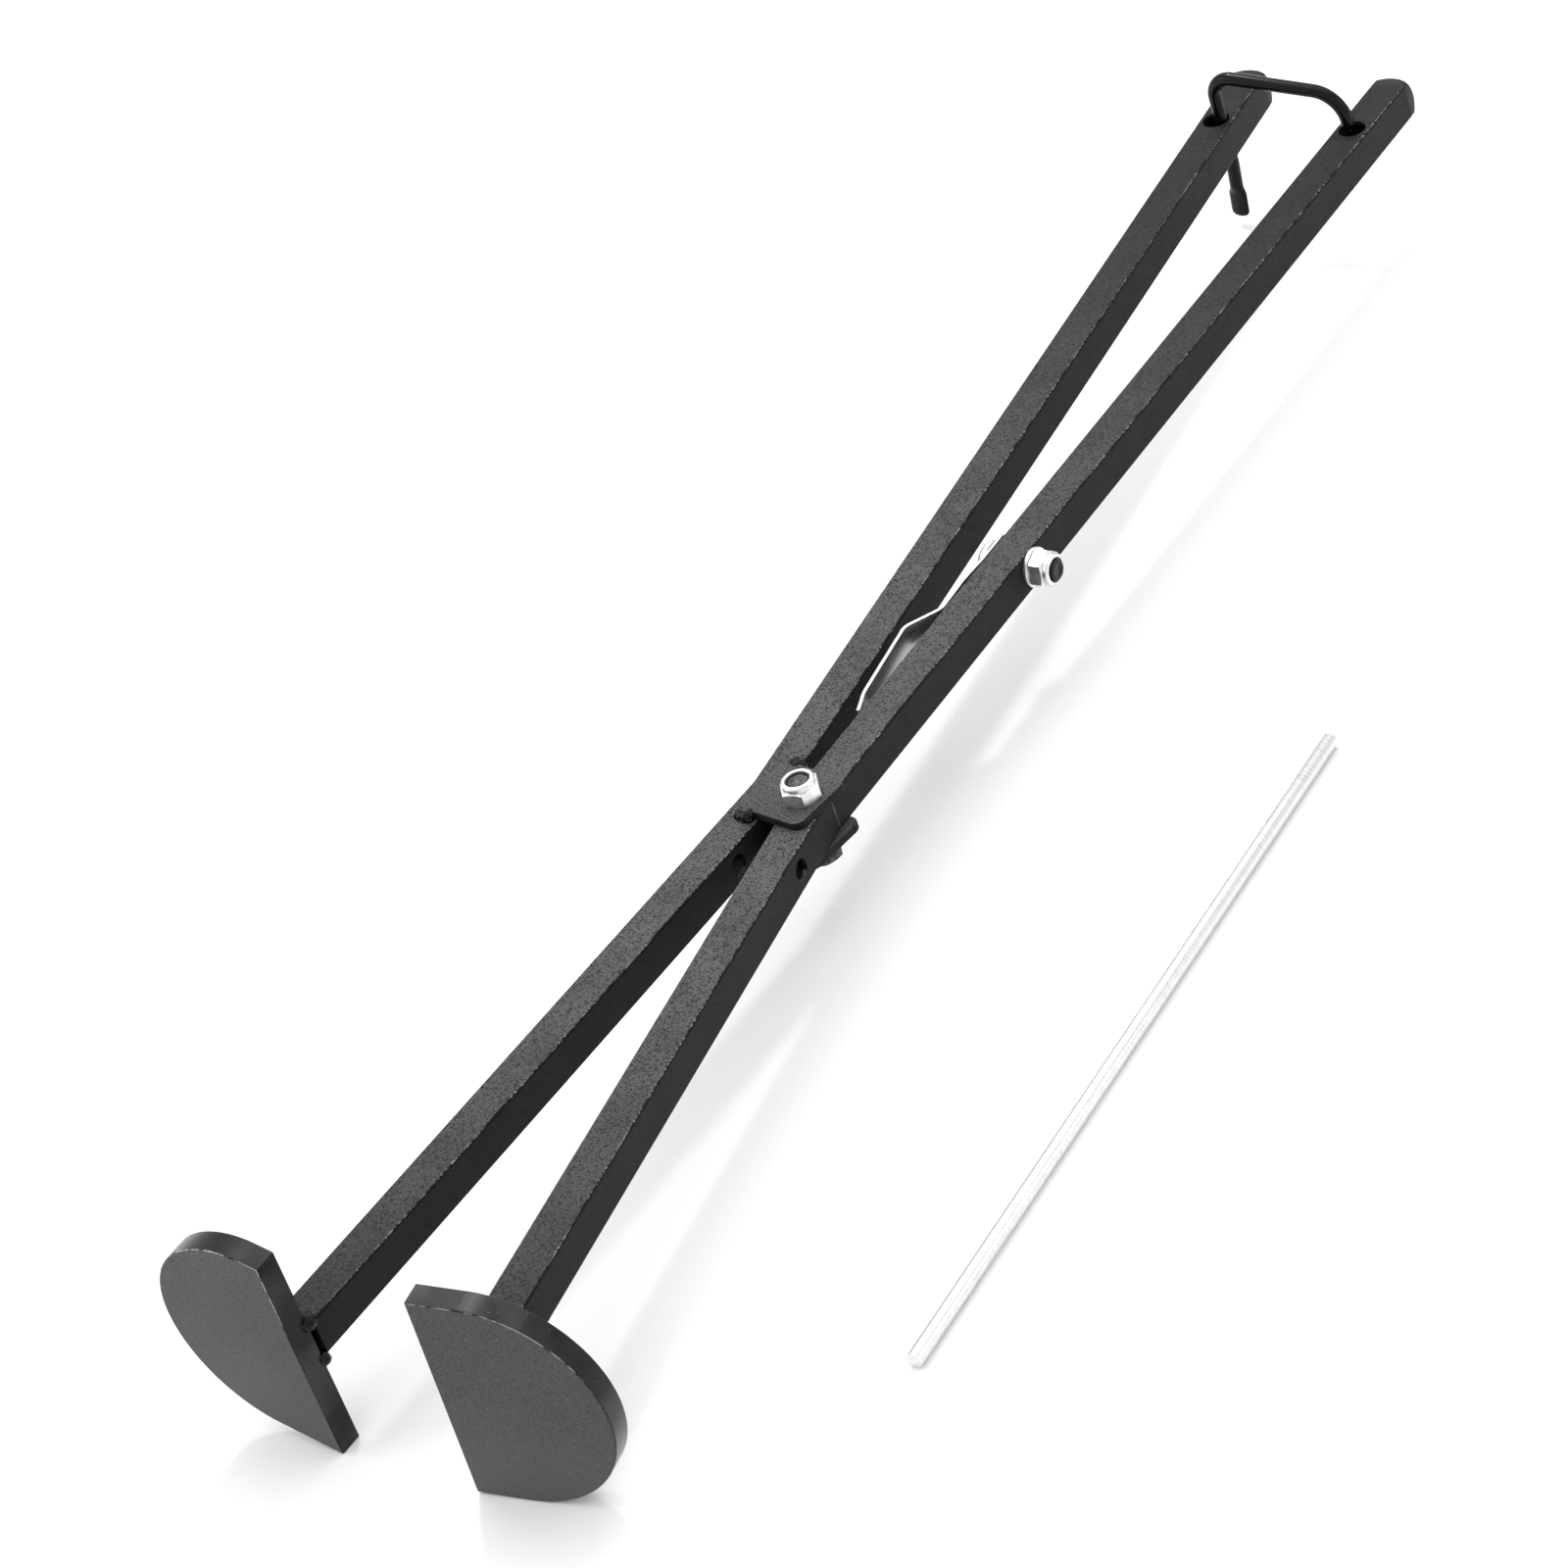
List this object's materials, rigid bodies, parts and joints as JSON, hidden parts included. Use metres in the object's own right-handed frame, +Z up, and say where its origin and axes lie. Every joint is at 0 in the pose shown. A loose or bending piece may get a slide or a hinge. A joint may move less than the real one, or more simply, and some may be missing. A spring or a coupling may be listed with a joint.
{
  "type": "spreading tool",
  "caption": "Hand-squeezed spreading tool: bent square-bar arms on one pivot, D-shaped end plates, leaf spring between the handles, wire locking bail and a loose cross rod.",
  "frame": {"origin": "middle of the whole kit's underside, on the surface that the plates stand on", "axes": "+Y along the tool from the D plates towards the handles, +X from the left bar towards the loose rod, +Z up, along the pivot bolt"},
  "size_m": [0.2374, 0.7434, 0.0854],
  "materials": {
    "black_powder_coat": "wrinkle-grain black powder coat",
    "plate_coat": "satin black coat, worn at the rims",
    "weld_metal": "coated weld bead",
    "zinc": "bright zinc plating",
    "nylon": "nylon",
    "bolt_steel": "darkened steel",
    "spring_steel": "bright spring strip",
    "bail_coat": "satin black",
    "cap_plastic": "matt black plastic",
    "rod_steel": "ground bright steel"
  },
  "bodies": {
    "left_arm": {"left_upper_arm": "black_powder_coat", "left_lower_arm": "black_powder_coat", "left_bend_weld": "weld_metal", "left_plate": "plate_coat", "left_plate_weld": "weld_metal", "upper_pivot_tab": "black_powder_coat", "lower_pivot_tab": "black_powder_coat", "upper_tab_front_weld": "weld_metal", "upper_tab_rear_weld": "weld_metal", "lower_tab_front_weld": "weld_metal", "lower_tab_rear_weld": "weld_metal", "pivot_bolt": "bolt_steel", "pivot_nut": "zinc", "pivot_nut_insert": "nylon", "left_end_cap": "cap_plastic"},
    "right_arm": {"right_upper_arm": "black_powder_coat", "right_lower_arm": "black_powder_coat", "right_bend_weld": "weld_metal", "right_plate": "plate_coat", "right_plate_weld": "weld_metal", "leaf_spring": "spring_steel", "spring_bolt": "zinc", "spring_washer": "zinc", "spring_nut": "zinc", "spring_nut_insert": "nylon", "right_end_cap": "cap_plastic"},
    "bail": {"locking_bail": "bail_coat"},
    "rod": {"cross_rod": "rod_steel"}
  },
  "joints": [
    {"name": "pivot", "type": "hinge", "parent": "left_arm", "child": "right_arm", "pos_m": [-0.02321, -0.09299, 0.04255], "axis": [0, 0, 1], "range_deg": [-11, 1.5], "deforming": ["leaf_spring"]},
    {"name": "bail_swing", "type": "hinge", "parent": "left_arm", "child": "bail", "pos_m": [-0.0615, 0.33263, 0.04255], "axis": [0, 0, 1], "continuous": true},
    {"name": "rod_lift", "type": "slide", "parent": "left_arm", "child": "rod", "axis": [0, 0, 1], "range_m": [0, 0.2]}
  ]
}
